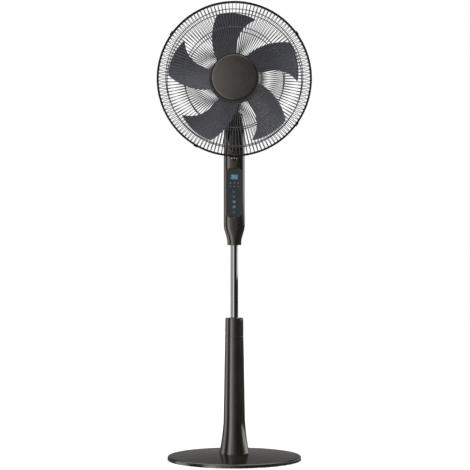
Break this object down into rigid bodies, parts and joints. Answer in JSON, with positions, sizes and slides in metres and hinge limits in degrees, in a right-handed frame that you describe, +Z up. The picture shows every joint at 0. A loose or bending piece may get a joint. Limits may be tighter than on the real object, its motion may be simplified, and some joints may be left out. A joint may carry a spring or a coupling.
{
  "type": "pedestal fan",
  "caption": "Pedestal fan with a weighted round base, telescopic chrome column, slim control housing, swinging and tilting head, wire grille and broad hooked blades.",
  "frame": {"origin": "on the floor under the middle of the round base", "axes": "+Z up, -Y forward, the way the air leaves and the panel faces, +X to the right seen from the front"},
  "size_m": [0.446, 0.392, 1.332],
  "materials": {
    "dark_gloss": "glossy near-black brown ABS",
    "dark_satin": "fine-textured near-black plastic",
    "dark_matte": "matte black plastic",
    "ballast_steel": "raw steel plate",
    "rubber": "soft black rubber",
    "zinc": "zinc plated steel",
    "tube_steel": "bright drawn steel",
    "chrome": "polished chrome",
    "white_acetal": "natural acetal",
    "white_plastic": "white film-capacitor case",
    "panel_lens": "dark teal polished lens",
    "display_light": "lit cyan display",
    "icon_light": "lit light pipes",
    "button_plastic": "satin dark teal keys",
    "board_green": "green circuit board",
    "bronze": "sintered bronze",
    "die_cast": "die-cast aluminium",
    "core_steel": "laminated core steel",
    "copper": "enamelled copper wire",
    "grille_wire": "steel wire coated dark grey",
    "cap_satin": "satin dark brown-grey",
    "rim_black": "black",
    "blade_slate": "satin dark slate, smoke tinted"
  },
  "bodies": {
    "stand": {"base_cover": "dark_gloss", "base_ballast": "ballast_steel", "base_feet": "rubber", "cover_screws": "zinc", "tube_flange": "zinc", "flange_screws": "zinc", "column_cover": "dark_gloss", "outer_tube": "tube_steel", "clamp_collet": "white_acetal"},
    "height_collar": {"height_collar": "dark_gloss"},
    "mast": {"inner_tube": "chrome", "tube_guide": "white_acetal", "tube_socket": "dark_matte", "socket_bolt": "zinc", "housing_front": "dark_gloss", "housing_rear": "dark_gloss", "housing_screws": "zinc", "panel_frame": "dark_gloss", "control_panel": "panel_lens", "display_module": "display_light", "indicator_lights": "icon_light", "control_board": "board_green", "power_board": "board_green", "motor_capacitor": "white_plastic", "cord_inlet": "rubber", "swing_motor": "zinc", "swivel_carrier": "dark_matte", "swivel_bush": "bronze", "thrust_washer": "white_acetal"},
    "power_button": {"power_button": "button_plastic"},
    "speed_button": {"speed_button": "button_plastic"},
    "swing_button": {"swing_button": "button_plastic"},
    "mode_button": {"mode_button": "button_plastic"},
    "timer_button": {"timer_button": "button_plastic"},
    "swing_pinion": {"swing_pinion": "white_acetal"},
    "neck": {"neck": "dark_gloss", "swing_gear": "white_acetal", "spindle_clip": "zinc", "tilt_pin": "zinc"},
    "head": {"tilt_bracket": "dark_matte", "bracket_screws": "zinc", "motor_front": "die_cast", "motor_rear": "die_cast", "motor_cover": "dark_satin", "stator_core": "core_steel", "stator_coils": "copper", "motor_bearings": "bronze", "motor_bolts": "zinc", "rear_grille": "grille_wire", "grille_nut": "dark_matte", "front_grille": "grille_wire", "centre_cap": "cap_satin", "rim_band": "rim_black", "rim_screw": "zinc", "rim_clips": "rim_black"},
    "rotor": {"motor_shaft": "tube_steel", "rotor_core": "core_steel", "fan_blade": "blade_slate", "spinner_nut": "dark_matte", "drive_pin": "tube_steel"}
  },
  "joints": [
    {"name": "collar_twist", "type": "hinge", "parent": "stand", "child": "height_collar", "pos_m": [0, 0, 0.39], "axis": [0, 0, 1], "range_deg": [0, 60]},
    {"name": "height_slide", "type": "slide", "parent": "stand", "child": "mast", "axis": [0, 0, 1], "range_m": [-0.2, 0]},
    {"name": "swing", "type": "hinge", "parent": "mast", "child": "neck", "pos_m": [0, 0, 1], "axis": [0, 0, 1], "range_deg": [-40, 40]},
    {"name": "pinion_turn", "type": "hinge", "parent": "mast", "child": "swing_pinion", "pos_m": [0.0208, 0, 0.966], "axis": [0, 0, 1], "range_deg": [-134, 134]},
    {"name": "tilt", "type": "hinge", "parent": "neck", "child": "head", "pos_m": [0, 0, 1.036], "axis": [-1, 0, 0], "range_deg": [-5, 18]},
    {"name": "blade_spin", "type": "hinge", "parent": "head", "child": "rotor", "pos_m": [0, -0.05, 1.109], "axis": [0, -1, 0], "continuous": true},
    {"name": "power_press", "type": "slide", "parent": "mast", "child": "power_button", "axis": [0, 1, 0], "range_m": [0, 0.0008], "stiffness_N_per_m": 400},
    {"name": "speed_press", "type": "slide", "parent": "mast", "child": "speed_button", "axis": [0, 1, 0], "range_m": [0, 0.0008], "stiffness_N_per_m": 400},
    {"name": "swing_press", "type": "slide", "parent": "mast", "child": "swing_button", "axis": [0, 1, 0], "range_m": [0, 0.0008], "stiffness_N_per_m": 400},
    {"name": "mode_press", "type": "slide", "parent": "mast", "child": "mode_button", "axis": [0, 1, 0], "range_m": [0, 0.0008], "stiffness_N_per_m": 400},
    {"name": "timer_press", "type": "slide", "parent": "mast", "child": "timer_button", "axis": [0, 1, 0], "range_m": [0, 0.0008], "stiffness_N_per_m": 400}
  ],
  "couplings": [
    {"joint": "pinion_turn", "follows": "swing", "ratio": -3.3333}
  ]
}
